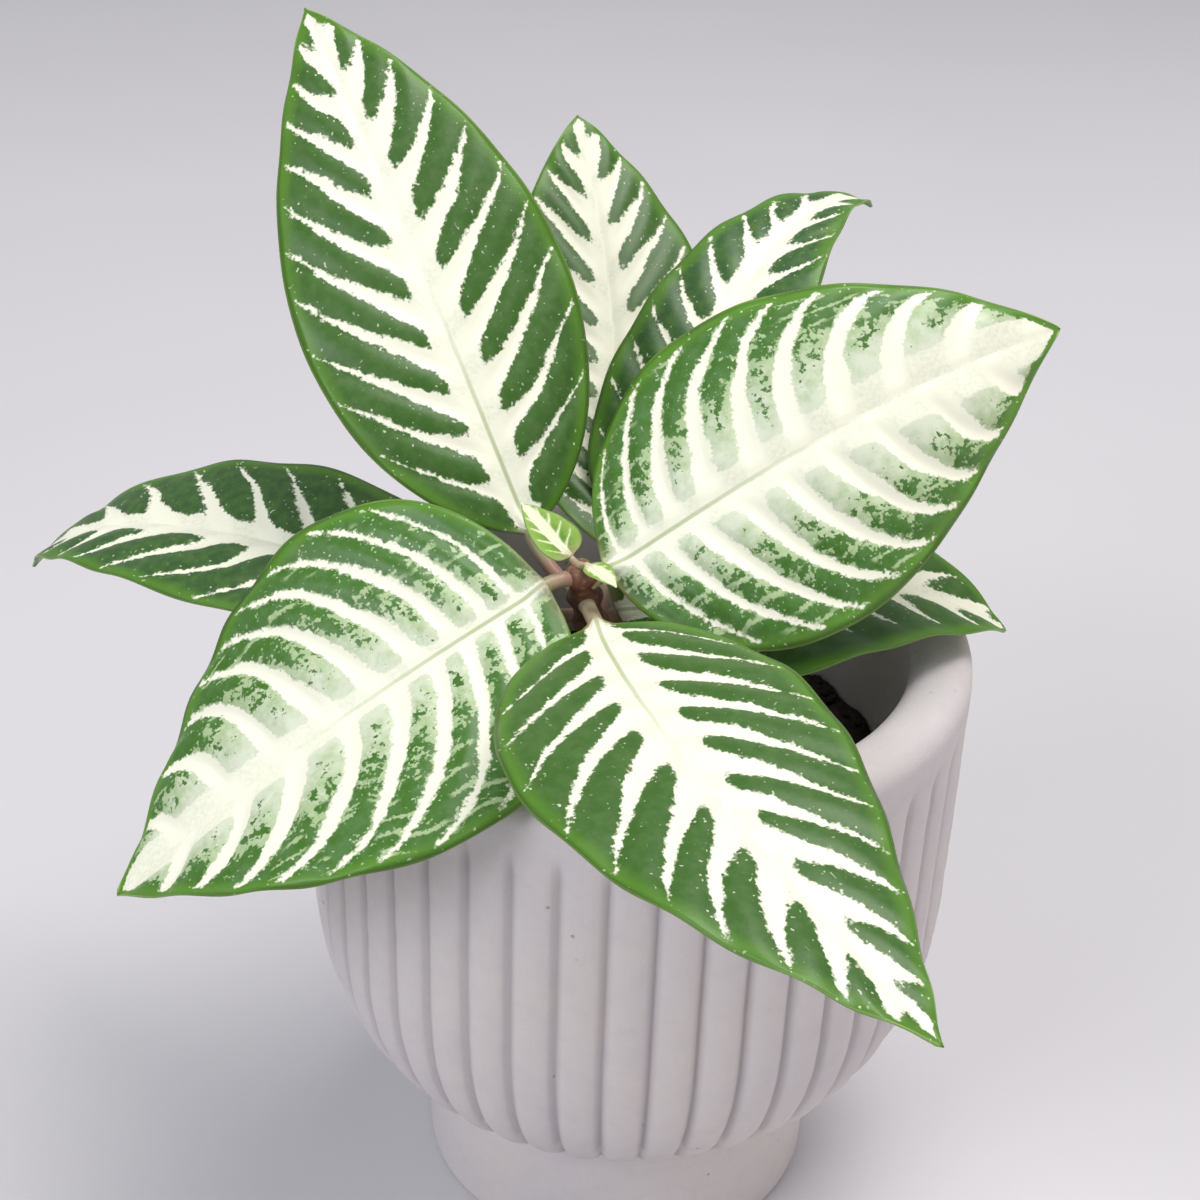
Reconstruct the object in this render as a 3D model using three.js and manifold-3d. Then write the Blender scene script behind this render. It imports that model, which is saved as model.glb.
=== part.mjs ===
// Potted zebra plant (Aphelandra squarrosa) in a footed, reeded concrete pot.
// Millimetres, +Z up. The origin is the centre of the pot's flat underside.
// Every leaf is one grown piece: petiole, midrib and blade. Leaves sit in opposite pairs on one stem.
import * as THREE from "three";
import { mergeVertices } from "three/addons/utils/BufferGeometryUtils.js";
import Module from "manifold-3d";

const wasm = await Module();
wasm.setup();

// ---- driving dimensions ----
const GAP = 0.3; // clearance between pieces that touch in the real object
const POT_HEIGHT = 135;
const RIM_RADIUS = 67.5; // outside, at the top
const RIM_INNER_RADIUS = 55;
const RIM_ROUND = 4.5; // rounding of the rim's two edges
const FOOT_RADIUS = 43.5;
const FOOT_HEIGHT = 30;
const FOOT_ROUND = 1.2;
const BOWL_FLOOR_RADIUS = 32; // where the bowl's round would end on the foot's top
const BOWL_ROUND_HEIGHT = 48; // height of the rounded lower part of the bowl
const BOWL_ROUND_POWER = 2.2; // 2 is an ellipse, more is squarer
const CAVITY_FLOOR = 44; // height of the planting hollow's floor
const CAVITY_ROWS = [78, 62, 53, 47]; // heights at which the hollow's round is drawn
const REED_COUNT = 46;
const REED_DEPTH = 2.0;
const REED_TOP = 127; // the reeds run out just under the rim
const REED_FADE = 9;
const SIDES_PER_REED = 2;
const SOIL_TOP = 100;
const SOIL_SIDES = 32;
const ROOT_BALL_RADIUS = 31;
const ROOT_BALL_DEPTH = 42;
const STEM_FOOT = new THREE.Vector3(-1, 6, 88);
const STEM_TOP = new THREE.Vector3(-12, -23, 160);
const STEM_FOOT_RADIUS = 3.7;
const STEM_TOP_RADIUS = 2.4;
const NODE_SWELL = 0.9; // how much the stem thickens where a pair of leaves leaves it
const NODE_HEIGHTS = { fifth: 131, fourth: 138, lower: 145, middle: 152, upper: 158 };
const STALK_RADIUS = 1.5;
const BLADE_THICKNESS = 1.0;
const BLADE_STEPS = 12;
const HALF_STEPS = 3; // columns from midrib to margin

// Angles in degrees, lengths in millimetres. azimuth: 0 is +X, 90 is +Y. rise, lift and droop are the slopes of
// the petiole, the blade's base and its tip; sweep turns the blade sideways along its length; roll and twist tip
// it about its midrib; fold lifts both halves into a V and curl rolls the margins down, both as shares of width.
const LEAVES = {
  upper_leaf_right: { node: "upper", azimuth: 10, petiole: 1, rise: 30, lift: 35, droop: 5, sweep: 20, bend: 1.5,
    roll: 35, twist: 20, fold: 0.05, curl: 0.2, length: 100, width: 65, belly: 0.35, point: 1 },
  upper_leaf_left: { node: "upper", azimuth: 210, petiole: 3, rise: 5, lift: -20, droop: -45, sweep: -20, bend: 1,
    roll: -30, twist: 25, fold: 0.2, curl: 0.1, length: 100, width: 75, belly: 0.35, point: 1 },
  middle_leaf_back: { node: "middle", azimuth: 130, petiole: 15, rise: 0, lift: 50, droop: 30, sweep: -10, bend: 1.5,
    roll: -15, twist: -15, fold: 0.1, curl: 0.15, length: 120, width: 55, belly: 0.4, point: 1 },
  middle_leaf_front: { node: "middle", azimuth: -80, petiole: 10, rise: 15, lift: 10, droop: -15, sweep: 30, bend: 1.5,
    roll: 10, twist: -15, fold: 0.15, curl: 0.15, length: 120, width: 55, belly: 0.4, point: 1 },
  lower_leaf_left: { node: "lower", azimuth: 160, petiole: 25, rise: -15, lift: 5, droop: -50, sweep: -15, bend: 2,
    roll: -15, twist: 5, fold: 0.2, curl: 0.1, length: 120, width: 45, belly: 0.35, point: 1 },
  lower_leaf_right: { node: "lower", azimuth: 20, petiole: 1, rise: 15, lift: 10, droop: -35, sweep: -15, bend: 1.5,
    roll: 25, twist: -20, fold: 0.25, curl: 0.05, length: 85, width: 55, belly: 0.3, point: 0.85 },
  bottom_leaf_back: { node: "fourth", azimuth: 85, petiole: 25, rise: 0, lift: 25, droop: 45, sweep: 25, bend: 1,
    roll: 0, twist: 5, fold: 0.15, curl: 0.15, length: 110, width: 50, belly: 0.45, point: 0.85 },
  bottom_leaf_right: { node: "fifth", azimuth: 70, petiole: 30, rise: 10, lift: 50, droop: -30, sweep: -20, bend: 2,
    roll: 0, twist: 0, fold: 0.2, curl: 0.1, length: 115, width: 40, belly: 0.25, point: 1 },
};

const YOUNG_LEAVES = {
  young_leaf_back: { azimuth: 146, petiole: 1, rise: 34, lift: 32, droop: 22, sweep: -14, bend: 1.2, roll: -12, twist: 0,
    fold: 0.35, curl: 0.05, length: 14.5, width: 9.5, belly: 0.26, point: 1 },
  young_leaf_front: { azimuth: -48, petiole: 0.8, rise: 16, lift: 8, droop: -20, sweep: 4, bend: 1.2, roll: 8, twist: 0,
    fold: 0.4, curl: 0.1, length: 8.5, width: 5, belly: 0.4, point: 1 },
};

// ---- materials ----
const finish = (color, roughness) => new THREE.MeshStandardMaterial({ color, roughness, metalness: 0 });
const CONCRETE = finish(0xd5d0d3, 0.85);
const SOIL = finish(0x2a211c, 0.95);
const ROOTS = finish(0x4a382a, 0.95);
const STEM = finish(0x7a4a3c, 0.5);
const LEAF = finish(0x3c6b2c, 0.4);
const YOUNG_LEAF = finish(0x86b03a, 0.4);

// ---- helpers ----
const DEGREE = Math.PI / 180;
const heading = (azimuth, slope) =>
  new THREE.Vector3(Math.cos(azimuth) * Math.cos(slope), Math.sin(azimuth) * Math.cos(slope), Math.sin(slope));

function indexed(points, triangles) {
  const g = new THREE.BufferGeometry();
  g.setAttribute("position", new THREE.Float32BufferAttribute(points.flatMap((p) => [p.x, p.y, p.z]), 3));
  g.setIndex(triangles.flat());
  return g;
}

function toSolid(geometry) {
  const bare = geometry.clone();
  for (const name of ["normal", "uv"]) bare.deleteAttribute(name);
  const merged = mergeVertices(bare, 1e-4);
  return new wasm.Manifold(new wasm.Mesh({
    numProp: 3,
    vertProperties: merged.attributes.position.array,
    triVerts: new Uint32Array(merged.index.array),
  }));
}

function toGeometry(solid) {
  const mesh = solid.getMesh();
  const g = new THREE.BufferGeometry();
  g.setAttribute("position", new THREE.BufferAttribute(mesh.vertProperties, 3));
  g.setIndex(new THREE.BufferAttribute(mesh.triVerts, 1));
  g.computeVertexNormals();
  return g;
}

// A closed body of revolution. Each profile row is [radius, height, depth of the reeds]; it runs from the axis
// at the bottom, up the outside, and back to the axis.
function revolve(profile, sides, reeds = 0) {
  const points = [];
  const rows = profile.map(([radius, height, depth = 0]) => {
    if (radius === 0) return [points.push(new THREE.Vector3(0, 0, height)) - 1];
    return Array.from({ length: sides }, (_, k) => {
      const turn = (k / sides) * 2 * Math.PI;
      const valley = reeds ? 1 - Math.abs(Math.cos((turn * reeds) / 2)) : 0;
      const r = radius - depth * valley;
      return points.push(new THREE.Vector3(r * Math.cos(turn), r * Math.sin(turn), height)) - 1;
    });
  });
  const triangles = [];
  for (let i = 0; i + 1 < rows.length; i++) {
    for (let k = 0; k < sides; k++) {
      const [a, b] = [rows[i][k % rows[i].length], rows[i][(k + 1) % rows[i].length]];
      const [c, d] = [rows[i + 1][k % rows[i + 1].length], rows[i + 1][(k + 1) % rows[i + 1].length]];
      if (a !== b) triangles.push([a, b, c]);
      if (c !== d) triangles.push([b, d, c]);
    }
  }
  return indexed(points, triangles);
}

// A round bar along points, with a radius for each point and flat ends.
function bar(points, radii, sides) {
  const verts = [];
  const rings = points.map((p, i) => {
    const ahead = points[Math.min(i + 1, points.length - 1)];
    const along = ahead.clone().sub(points[Math.max(i - 1, 0)]).normalize();
    const across = new THREE.Vector3(0, 1, 0).cross(along).normalize();
    const third = along.clone().cross(across);
    return Array.from({ length: sides }, (_, k) => {
      const turn = (k / sides) * 2 * Math.PI;
      const v = p.clone().addScaledVector(across, radii[i] * Math.cos(turn));
      return verts.push(v.addScaledVector(third, radii[i] * Math.sin(turn))) - 1;
    });
  });
  const triangles = [];
  for (let i = 0; i + 1 < rings.length; i++) {
    for (let k = 0; k < sides; k++) {
      const n = (k + 1) % sides;
      triangles.push([rings[i][k], rings[i][n], rings[i + 1][k]], [rings[i][n], rings[i + 1][n], rings[i + 1][k]]);
    }
  }
  const ends = [verts.push(points[0].clone()) - 1, verts.push(points[points.length - 1].clone()) - 1];
  for (let k = 0; k < sides; k++) {
    const n = (k + 1) % sides;
    triangles.push([ends[0], rings[0][n], rings[0][k]]);
    triangles.push([ends[1], rings[rings.length - 1][k], rings[rings.length - 1][n]]);
  }
  return indexed(verts, triangles);
}

// ---- pot ----
const reedDepth = (height) => REED_DEPTH * THREE.MathUtils.clamp((REED_TOP - height) / REED_FADE, 0, 1);

function bowlRadius(height) {
  const rise = Math.min((height - FOOT_HEIGHT) / BOWL_ROUND_HEIGHT, 1);
  const turn = Math.acos((1 - rise) ** (BOWL_ROUND_POWER / 2));
  return BOWL_FLOOR_RADIUS + (RIM_RADIUS - BOWL_FLOOR_RADIUS) * Math.sin(turn) ** (2 / BOWL_ROUND_POWER);
}

function cavityRadius(height) {
  const span = FOOT_HEIGHT + BOWL_ROUND_HEIGHT - CAVITY_FLOOR;
  const drop = THREE.MathUtils.clamp((FOOT_HEIGHT + BOWL_ROUND_HEIGHT - height) / span, 0, 1);
  return RIM_INNER_RADIUS * Math.sqrt(1 - drop * drop);
}

function potGeometry() {
  const profile = [[0, 0], [FOOT_RADIUS - FOOT_ROUND, 0], [FOOT_RADIUS, FOOT_ROUND], [FOOT_RADIUS, FOOT_HEIGHT + 1]];
  for (const share of [0.03, 0.09, 0.18, 0.31, 0.47, 0.68, 1]) {
    const height = FOOT_HEIGHT + BOWL_ROUND_HEIGHT * share + (1 - share);
    profile.push([Math.max(bowlRadius(height), FOOT_RADIUS + 0.6), height, REED_DEPTH]);
  }
  for (const height of [REED_TOP - REED_FADE, REED_TOP]) profile.push([RIM_RADIUS, height, reedDepth(height)]);
  const corner = RIM_ROUND * (1 - Math.SQRT1_2);
  profile.push([RIM_RADIUS, POT_HEIGHT - RIM_ROUND], [RIM_RADIUS - corner, POT_HEIGHT - corner]);
  profile.push([RIM_RADIUS - RIM_ROUND, POT_HEIGHT], [RIM_INNER_RADIUS + RIM_ROUND, POT_HEIGHT]);
  profile.push([RIM_INNER_RADIUS + corner, POT_HEIGHT - corner], [RIM_INNER_RADIUS, POT_HEIGHT - RIM_ROUND]);
  for (const height of CAVITY_ROWS) profile.push([cavityRadius(height), height]);
  profile.push([0, CAVITY_FLOOR]);
  return revolve(profile, REED_COUNT * SIDES_PER_REED, REED_COUNT);
}

// ---- stem ----
const stemAxis = (height) =>
  STEM_FOOT.clone().lerp(STEM_TOP, (height - STEM_FOOT.z) / (STEM_TOP.z - STEM_FOOT.z));

function stemRadius(height) {
  const share = (height - STEM_FOOT.z) / (STEM_TOP.z - STEM_FOOT.z);
  const plain = THREE.MathUtils.lerp(STEM_FOOT_RADIUS, STEM_TOP_RADIUS, share);
  const nearest = Math.min(...Object.values(NODE_HEIGHTS).map((h) => Math.abs(h - height)));
  return plain + NODE_SWELL * Math.max(0, 1 - nearest / 2.5);
}

function stemGeometry() {
  const heights = [STEM_FOOT.z, 102, 116, 126];
  for (const node of Object.values(NODE_HEIGHTS)) heights.push(node - 1.2, node, node + 1.2);
  return bar(heights.map(stemAxis), heights.map(stemRadius), 10);
}

// ---- soil and root ball ----
const rootBallRadius = (depth) => ROOT_BALL_RADIUS * (1 - 0.22 * (depth / ROOT_BALL_DEPTH) ** 1.5);

function rootBallGeometry(extra = 0) {
  const profile = [[0, SOIL_TOP - ROOT_BALL_DEPTH - extra]];
  for (const depth of [ROOT_BALL_DEPTH, ROOT_BALL_DEPTH - 6, ROOT_BALL_DEPTH / 2, 4, 0]) {
    const inset = depth === ROOT_BALL_DEPTH ? 5 : 0;
    profile.push([rootBallRadius(depth) - inset + extra, SOIL_TOP - depth - (depth === ROOT_BALL_DEPTH ? extra : 0)]);
  }
  profile.push([0, SOIL_TOP + (extra ? 0 : 2.5)]);
  return revolve(profile, SOIL_SIDES);
}

function soilGeometry() {
  const inside = (height) => cavityRadius(height) - 2 * GAP;
  const profile = [[0, CAVITY_FLOOR + 2 * GAP]];
  for (const height of CAVITY_ROWS.toReversed()) profile.push([inside(height), height + 2 * GAP]);
  profile.push([inside(SOIL_TOP), SOIL_TOP - 2], [inside(SOIL_TOP) - 3, SOIL_TOP]);
  profile.push([(RIM_INNER_RADIUS + ROOT_BALL_RADIUS) / 2, SOIL_TOP + 1.5], [0, SOIL_TOP + 0.5]);
  const pocket = toSolid(rootBallGeometry(GAP));
  const above = toSolid(revolve([[0, SOIL_TOP - 1], [ROOT_BALL_RADIUS + GAP, SOIL_TOP - 1],
    [ROOT_BALL_RADIUS + GAP, SOIL_TOP + 9], [0, SOIL_TOP + 9]], SOIL_SIDES));
  return toGeometry(toSolid(revolve(profile, SOIL_SIDES)).subtract(pocket).subtract(above));
}

function rootBallWithStemHole() {
  const bottom = STEM_FOOT.clone().addScaledVector(STEM_TOP.clone().sub(STEM_FOOT).normalize(), -GAP);
  const hole = bar([bottom, stemAxis(SOIL_TOP + 8)], [STEM_FOOT_RADIUS + 2 * GAP, STEM_FOOT_RADIUS + GAP], 12);
  return toGeometry(toSolid(rootBallGeometry()).subtract(toSolid(hole)));
}

// ---- leaves ----
function outlineShare(share, belly, point) {
  const shoulder = (belly / (1 - belly)) * point;
  return (share ** shoulder * (1 - share) ** point) / (belly ** shoulder * (1 - belly) ** point);
}

// Centre line and side directions of a leaf that leaves the origin along +X.
function leafFrames(leaf, steps) {
  const [rise, lift, droop] = [leaf.rise, leaf.lift, leaf.droop].map((angle) => angle * DEGREE);
  const petiole = [new THREE.Vector3()];
  const petioleSteps = 5;
  for (let i = 0; i < petioleSteps; i++) {
    const slope = THREE.MathUtils.lerp(rise, lift, (i + 0.5) / petioleSteps);
    petiole.push(petiole[i].clone().addScaledVector(heading(0, slope), leaf.petiole / petioleSteps));
  }
  const midrib = [petiole[petioleSteps].clone()];
  const frames = [];
  for (let i = 0; i <= steps; i++) {
    const share = i / steps;
    const slopeAt = (s) => lift + (droop - lift) * s ** leaf.bend;
    const turn = leaf.sweep * DEGREE * share;
    const along = heading(turn, slopeAt(share));
    const level = new THREE.Vector3(-Math.sin(turn), Math.cos(turn), 0);
    const up = along.clone().cross(level);
    const tip = (leaf.roll + leaf.twist * share) * DEGREE;
    const side = level.clone().multiplyScalar(Math.cos(tip)).addScaledVector(up, Math.sin(tip));
    const normal = up.multiplyScalar(Math.cos(tip)).addScaledVector(level, -Math.sin(tip));
    frames.push({ share, side, normal });
    if (i < steps) {
      const middle = (i + 0.5) / steps;
      const step = heading(leaf.sweep * DEGREE * middle, slopeAt(middle)).multiplyScalar(leaf.length / steps);
      midrib.push(midrib[i].clone().add(step));
    }
  }
  return { petiole, midrib, frames };
}

function bladeGeometry(leaf, { midrib, frames }, thickness) {
  const verts = [];
  const columns = 2 * HALF_STEPS;
  const place = (i, across, lift) => {
    const half = (leaf.width / 2) * outlineShare(frames[i].share, leaf.belly, leaf.point);
    const bow = half * (leaf.fold * Math.abs(across) - leaf.curl * across * across);
    return midrib[i].clone().addScaledVector(frames[i].side, half * across).addScaledVector(frames[i].normal, bow + lift);
  };
  const last = frames.length - 1;
  const base = verts.push(midrib[0].clone()) - 1;
  const rows = frames.slice(1, last).map((_, k) => {
    const top = [];
    const bottom = [];
    for (let j = 0; j <= columns; j++) {
      const across = j / HALF_STEPS - 1;
      const edge = j === 0 || j === columns;
      const half = edge ? 0 : thickness / 2;
      top.push(verts.push(place(k + 1, across, half)) - 1);
      bottom.push(edge ? top[j] : verts.push(place(k + 1, across, -half)) - 1);
    }
    return { top, bottom };
  });
  const tip = verts.push(midrib[last].clone()) - 1;
  const triangles = [];
  for (let j = 0; j < columns; j++) {
    const [first, end] = [rows[0], rows[rows.length - 1]];
    triangles.push([base, first.top[j], first.top[j + 1]], [base, first.bottom[j + 1], first.bottom[j]]);
    triangles.push([tip, end.top[j + 1], end.top[j]], [tip, end.bottom[j], end.bottom[j + 1]]);
    for (let i = 0; i + 1 < rows.length; i++) {
      const [a, b] = [rows[i], rows[i + 1]];
      triangles.push([a.top[j], b.top[j], a.top[j + 1]], [a.top[j + 1], b.top[j], b.top[j + 1]]);
      triangles.push([a.bottom[j], a.bottom[j + 1], b.bottom[j]], [a.bottom[j + 1], b.bottom[j + 1], b.bottom[j]]);
    }
  }
  return indexed(verts, triangles);
}

// The petiole runs on under the blade as its tapering midrib.
function leafGeometry(leaf, steps = BLADE_STEPS, stalkRadius = STALK_RADIUS, thickness = BLADE_THICKNESS) {
  const shape = leafFrames(leaf, steps);
  const ribSteps = Math.round(steps * 0.7);
  const rib = shape.midrib.slice(1, ribSteps + 1);
  const line = [...shape.petiole, ...rib.filter((_, i) => i % 2 === 0)];
  const radii = line.map((_, i) => {
    const out = Math.max(0, i - (shape.petiole.length - 1)) / (line.length - shape.petiole.length);
    return THREE.MathUtils.lerp(stalkRadius, stalkRadius * 0.35, out);
  });
  const blade = toSolid(bladeGeometry(leaf, shape, thickness));
  return toGeometry(blade.add(toSolid(bar(line, radii, 6))));
}

function piece(name, geometry, material, parent) {
  const mesh = new THREE.Mesh(geometry, material);
  mesh.name = name;
  parent.add(mesh);
  return mesh;
}

// Puts a leaf beside the leaning stem at a height, facing its azimuth.
function onStem(mesh, height, azimuth) {
  const out = heading(azimuth * DEGREE, 0);
  const lean = Math.abs(STEM_TOP.clone().sub(STEM_FOOT).dot(out)) / (STEM_TOP.z - STEM_FOOT.z);
  const standOff = stemRadius(height) + GAP + lean * (STALK_RADIUS + 0.5);
  mesh.position.copy(stemAxis(height)).addScaledVector(out, standOff);
  mesh.rotation.z = azimuth * DEGREE;
  return mesh;
}

// ---- assembly ----
const pottedPlant = new THREE.Group();
const planter = new THREE.Group();
const plant = new THREE.Group();
pottedPlant.add(planter, plant);

piece("pot", potGeometry(), CONCRETE, planter);
piece("soil", soilGeometry(), SOIL, planter);
piece("root_ball", rootBallWithStemHole(), ROOTS, planter);
piece("stem", stemGeometry(), STEM, plant);
for (const [name, leaf] of Object.entries(LEAVES)) {
  onStem(piece(name, leafGeometry(leaf), LEAF, plant), NODE_HEIGHTS[leaf.node], leaf.azimuth);
}

// The growing tip: a young pair, still unfolding, set square to the upper pair.
for (const [name, leaf] of Object.entries(YOUNG_LEAVES)) {
  const mesh = piece(name, leafGeometry(leaf, 8, 0.7, 0.6), YOUNG_LEAF, plant);
  const turn = leaf.azimuth * DEGREE;
  mesh.position.copy(STEM_TOP).addScaledVector(heading(turn, 0), 1.2);
  mesh.position.z += 0.7 + GAP;
  mesh.rotation.z = turn;
}

export default pottedPlant;
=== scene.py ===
"""Potted zebra plant (Aphelandra squarrosa) in a footed, reeded concrete pot."""
import math

import bpy
import numpy as np
from mathutils import Matrix, Vector


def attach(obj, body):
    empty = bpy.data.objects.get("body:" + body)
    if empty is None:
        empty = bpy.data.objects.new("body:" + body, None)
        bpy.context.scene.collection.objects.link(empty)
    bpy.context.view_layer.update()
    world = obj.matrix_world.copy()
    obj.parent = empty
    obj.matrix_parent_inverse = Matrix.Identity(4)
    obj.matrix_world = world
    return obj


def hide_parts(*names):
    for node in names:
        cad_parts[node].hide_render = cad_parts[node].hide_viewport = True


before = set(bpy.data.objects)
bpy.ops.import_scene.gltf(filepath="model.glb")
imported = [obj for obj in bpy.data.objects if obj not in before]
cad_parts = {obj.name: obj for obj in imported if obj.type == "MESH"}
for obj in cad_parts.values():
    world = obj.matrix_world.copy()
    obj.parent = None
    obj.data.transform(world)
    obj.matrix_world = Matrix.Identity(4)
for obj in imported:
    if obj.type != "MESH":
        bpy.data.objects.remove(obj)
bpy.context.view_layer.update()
MM = 0.001
DEG = math.pi / 180

# ---------------------------------------------------------------- dimensions, millimetres and degrees
POT_HEIGHT, RIM_RADIUS, RIM_INNER, RIM_ROUND = 135.0, 67.5, 55.0, 4.5
FOOT_RADIUS, FOOT_HEIGHT = 43.5, 30.0
BOWL_FLOOR, BOWL_ROUND, BOWL_POWER = 32.0, 48.0, 2.2
FOOT_ROUND = 1.2
CAVITY_FLOOR, CAVITY_TURN, WALL_END = 44.0, 78.0, 80.0
REEDS, REED_DEPTH, REED_TOP, REED_FADE = 46, 2.0, 127.0, 9.0
POINTS_PER_REED = 10
SOIL_TOP, ROOT_BALL, ROOT_DEPTH = 100.0, 31.0, 42.0
STEM_FOOT, STEM_TOP = np.array([-1.0, 6.0, 88.0]), np.array([-12.0, -23.0, 160.0])
STEM_R0, STEM_R1, SWELL = 3.7, 2.4, 0.9
NODES = {"fifth": 131.0, "fourth": 138.0, "lower": 145.0, "middle": 152.0, "upper": 158.0}
STALK = 1.5
STALK_STEPS = 10
# a stalk starts about this far from the stem's axis, and a young leaf's stalk comes out this far from it
CORE = 1.2
# above 1, a blade's columns crowd towards its midrib
CROWDING = 1.45
# how far up the blade the first side vein starts, and the rounds that settle where each vein starts
FIRST_VEIN, VEIN_ROUNDS = 0.035, 24
# millimetres in one unit of the leaf layers: along and across the leaf, and for the shorter measures
UV_LONG, UV_SHORT = 100.0, 10.0
# the shares of a blade's length at which a look gives the white band's half width
BAND_AT = (0, 0.1, 0.35, 0.6, 0.75, 0.9, 1)

# node: where the leaf leaves the stem. azimuth: its direction. petiole: the stalk's length.
# rise, lift and droop: the slope at the stalk's start, at the blade's start and at its tip.
# sweep: the turn along the blade. bend: above 1, the slope changes late.
# roll and twist: the lean about the midrib at the start, and what is added by the tip.
# fold and curl: the V and the bow across the blade. length and width: the blade's.
# belly: where it is widest, as a share of its length. point: how drawn out the tip is.
KEYS = ("node azimuth petiole rise lift droop sweep bend "
        "roll twist fold curl length width belly point").split()
LEAVES = {
    "upper_leaf_right": ("upper", 10, 1, 30, 35, 5, 20, 1.5, 35, 20, 0.05, 0.2, 100, 65, 0.35, 1),
    "upper_leaf_left": ("upper", 210, 3, 5, -20, -45, -20, 1, -30, 25, 0.2, 0.1, 100, 75, 0.35, 1),
    "middle_leaf_back": ("middle", 130, 15, 0, 50, 30, -10, 1.5, -15, -15, 0.1, 0.15, 120, 55, 0.4, 1),
    "middle_leaf_front": ("middle", -80, 10, 15, 10, -15, 30, 1.5, 10, -15, 0.15, 0.15, 120, 55, 0.4, 1),
    "lower_leaf_left": ("lower", 160, 25, -15, 5, -50, -15, 2, -15, 5, 0.2, 0.1, 120, 45, 0.35, 1),
    "lower_leaf_right": ("lower", 20, 1, 15, 10, -35, -15, 1.5, 25, -20, 0.25, 0.05, 85, 55, 0.3, 0.85),
    "bottom_leaf_back": ("fourth", 85, 25, 0, 25, 45, 25, 1, 0, 5, 0.15, 0.15, 110, 50, 0.45, 0.85),
    "bottom_leaf_right": ("fifth", 70, 30, 10, 50, -30, -20, 2, 0, 0, 0.2, 0.1, 115, 40, 0.25, 1),
}
YOUNG = {
    "young_leaf_back": ("tip", 146, 1, 34, 32, 22, -14, 1.2, -12, 0, 0.35, 0.05, 14.5, 9.5, 0.26, 1.0),
    "young_leaf_front": ("tip", -48, 0.8, 16, 8, -20, 4, 1.2, 8, 0, 0.4, 0.1, 8.5, 5, 0.4, 1.0),
}


# ---------------------------------------------------------------- small helpers
def smooth(x, lo, hi):
    """0 below lo, 1 above hi, with a soft step between."""
    x = np.clip((x - lo) / (hi - lo), 0, 1)
    return x * x * (3 - 2 * x)


def linear(c):
    return c / 255 / 12.92 if c <= 10 else ((c / 255 + 0.055) / 1.055) ** 2.4


def srgb(r, g, b):
    """A display colour out of 255 as linear light."""
    return (linear(r), linear(g), linear(b), 1.0)


def heading(az, el):
    """The direction with this azimuth and slope, in radians."""
    return np.stack([np.cos(az) * np.cos(el), np.sin(az) * np.cos(el), np.sin(el) + 0 * az], -1)


def ripple(x, y, z, scale, seed=0):
    """Smooth pseudo-noise in about -1..1 from a few rotated sines."""
    total = np.zeros(np.broadcast(x, y, z).shape)
    gen = np.random.default_rng(seed)
    for _ in range(7):
        d = gen.normal(size=3)
        d /= np.linalg.norm(d)
        f = gen.uniform(0.6, 1.7) * scale
        total = total + np.sin((x * d[0] + y * d[1] + z * d[2]) * f + gen.uniform(0, 6.28))
    return total / 3.2


def ring_angles(sides):
    return np.arange(sides) / sides * 2 * math.pi


def ring_face(a, b, k, sides):
    """One face between two rings of points, either of which may be a single point."""
    n = (k + 1) % sides
    if len(a) == 1:
        return (a[0], b[n], b[k])
    if len(b) == 1:
        return (a[k], a[n], b[0])
    return (a[k], a[n], b[n], b[k])


def make_object(name, verts, faces, materials, indices=None, uvs=None, smooth_shade=True):
    mesh = bpy.data.meshes.new(name)
    points = [tuple(v) for v in np.asarray(verts) * MM]
    mesh.from_pydata(points, [], [tuple(int(i) for i in f) for f in faces])
    for mat in materials:
        mesh.materials.append(mat)
    if indices is not None:
        mesh.polygons.foreach_set("material_index", np.asarray(indices, dtype=np.int32))
    for layer, values in (uvs or {}).items():
        uv = mesh.uv_layers.new(name=layer)
        uv.data.foreach_set("uv", np.asarray(values, dtype=np.float32).ravel())
    mesh.polygons.foreach_set("use_smooth", [smooth_shade] * len(mesh.polygons))
    mesh.validate()
    mesh.update()
    obj = bpy.data.objects.new(name, mesh)
    bpy.context.scene.collection.objects.link(obj)
    return obj


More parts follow.
